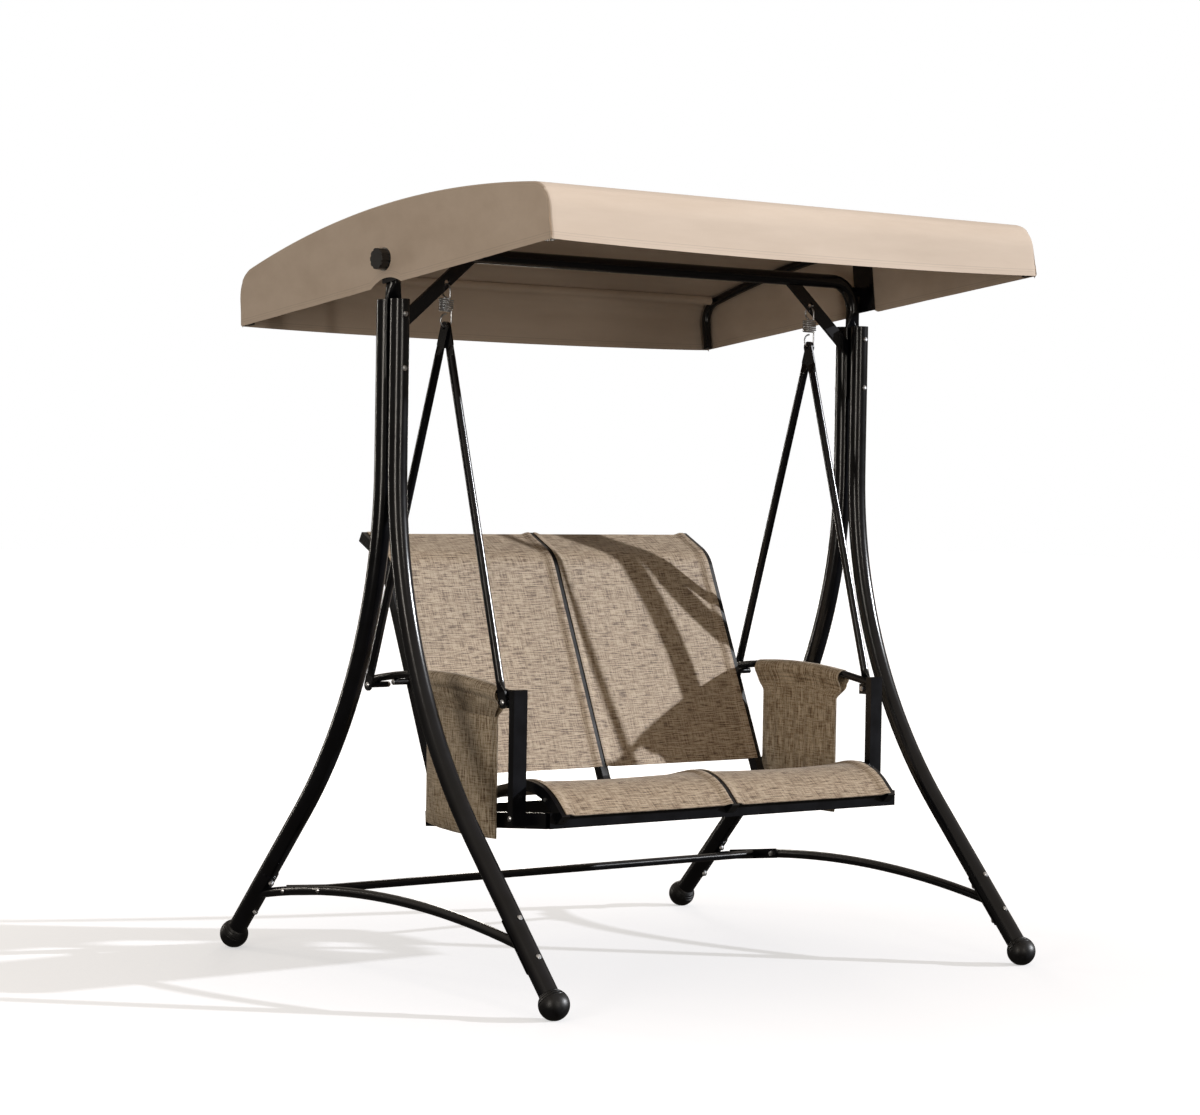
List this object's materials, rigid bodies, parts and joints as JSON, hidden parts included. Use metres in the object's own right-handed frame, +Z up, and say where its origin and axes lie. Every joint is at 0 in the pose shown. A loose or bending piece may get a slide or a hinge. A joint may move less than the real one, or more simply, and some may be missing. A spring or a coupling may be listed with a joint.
{
  "type": "glider swing",
  "caption": "Canopy garden swing: sling bench hung from coil springs between two bent A-frames joined by a beam, with a tilting fabric roof.",
  "frame": {"origin": "on the floor, midway between the four feet", "axes": "+X to the right seen from the front, the sitter faces -Y, +Z up"},
  "size_m": [1.7098, 1.4854, 2.0003],
  "materials": {
    "black_powder_coat": "gloss powder coat",
    "foot_plastic": "satin moulded",
    "black_plastic": "satin moulded",
    "zinc_steel": "zinc plated",
    "bright_steel": "bright plated",
    "sling_mesh": "woven PVC-coated mesh",
    "pouch_cloth": "plain woven polyester",
    "canopy_cloth": "plain woven polyester"
  },
  "bodies": {
    "base": {"leg_front_left": "black_powder_coat", "leg_rear_left": "black_powder_coat", "leg_front_right": "black_powder_coat", "leg_rear_right": "black_powder_coat", "foot_front_left": "foot_plastic", "foot_rear_left": "foot_plastic", "foot_front_right": "foot_plastic", "foot_rear_right": "foot_plastic", "leg_bolts": "zinc_steel", "stretcher_left": "black_powder_coat", "stretcher_right": "black_powder_coat", "crossbar": "black_powder_coat", "crossbar_bolts": "zinc_steel", "top_beam": "black_powder_coat", "upright_bolts": "zinc_steel", "brace_left": "black_powder_coat", "brace_right": "black_powder_coat", "tilt_stud_left": "black_powder_coat", "tilt_stud_right": "black_powder_coat"},
    "springs": {"spring_left": "zinc_steel", "spring_right": "zinc_steel"},
    "seat": {"hanger_arm_front_left": "black_powder_coat", "hanger_arm_rear_left": "black_powder_coat", "hanger_arm_front_right": "black_powder_coat", "hanger_arm_rear_right": "black_powder_coat", "hanger_bolts": "zinc_steel", "armrest_left": "black_powder_coat", "armrest_right": "black_powder_coat", "armrest_bolts": "zinc_steel", "post_left": "black_powder_coat", "post_right": "black_powder_coat", "post_bolts": "zinc_steel", "sling_rail_left": "black_powder_coat", "sling_rail_centre": "black_powder_coat", "sling_rail_right": "black_powder_coat", "end_caps": "black_plastic", "rail_screws": "zinc_steel", "front_rail": "black_powder_coat", "rear_rail": "black_powder_coat", "side_rail_left": "black_powder_coat", "side_rail_right": "black_powder_coat", "back_spreader": "black_powder_coat", "seat_sling_left": "sling_mesh", "seat_sling_right": "sling_mesh", "back_sling_left": "sling_mesh", "back_sling_right": "sling_mesh", "pouch_left": "pouch_cloth", "pouch_right": "pouch_cloth"},
    "canopy": {"canopy_hoop_left": "black_powder_coat", "canopy_hoop_right": "black_powder_coat", "tilt_plate_left": "black_powder_coat", "tilt_plate_right": "black_powder_coat", "canopy_end_caps": "black_plastic", "canopy_bow_front": "black_powder_coat", "canopy_bow_rear": "black_powder_coat", "canopy_cover": "canopy_cloth"},
    "knob_left": {"knob_left": "black_plastic", "knob_washer_left": "bright_steel"},
    "knob_right": {"knob_right": "black_plastic", "knob_washer_right": "bright_steel"}
  },
  "joints": [
    {"name": "swing", "type": "hinge", "parent": "base", "child": "springs", "pos_m": [0, 0, 1.7828], "axis": [1, 0, 0], "range_deg": [-25, 25]},
    {"name": "bounce", "type": "slide", "parent": "springs", "child": "seat", "axis": [0, 0, 1], "range_m": [-0.03, 0], "stiffness_N_per_m": 80000, "springref_m": 0.005, "deforming": ["spring_left", "spring_right"]},
    {"name": "canopy_tilt", "type": "hinge", "parent": "base", "child": "canopy", "pos_m": [0, 0, 1.835], "axis": [1, 0, 0], "range_deg": [-20, 25]},
    {"name": "knob_turn_left", "type": "hinge", "parent": "base", "child": "knob_left", "pos_m": [-0.84, 0, 1.835], "axis": [1, 0, 0], "continuous": true},
    {"name": "knob_turn_right", "type": "hinge", "parent": "base", "child": "knob_right", "pos_m": [0.84, 0, 1.835], "axis": [1, 0, 0], "continuous": true}
  ]
}
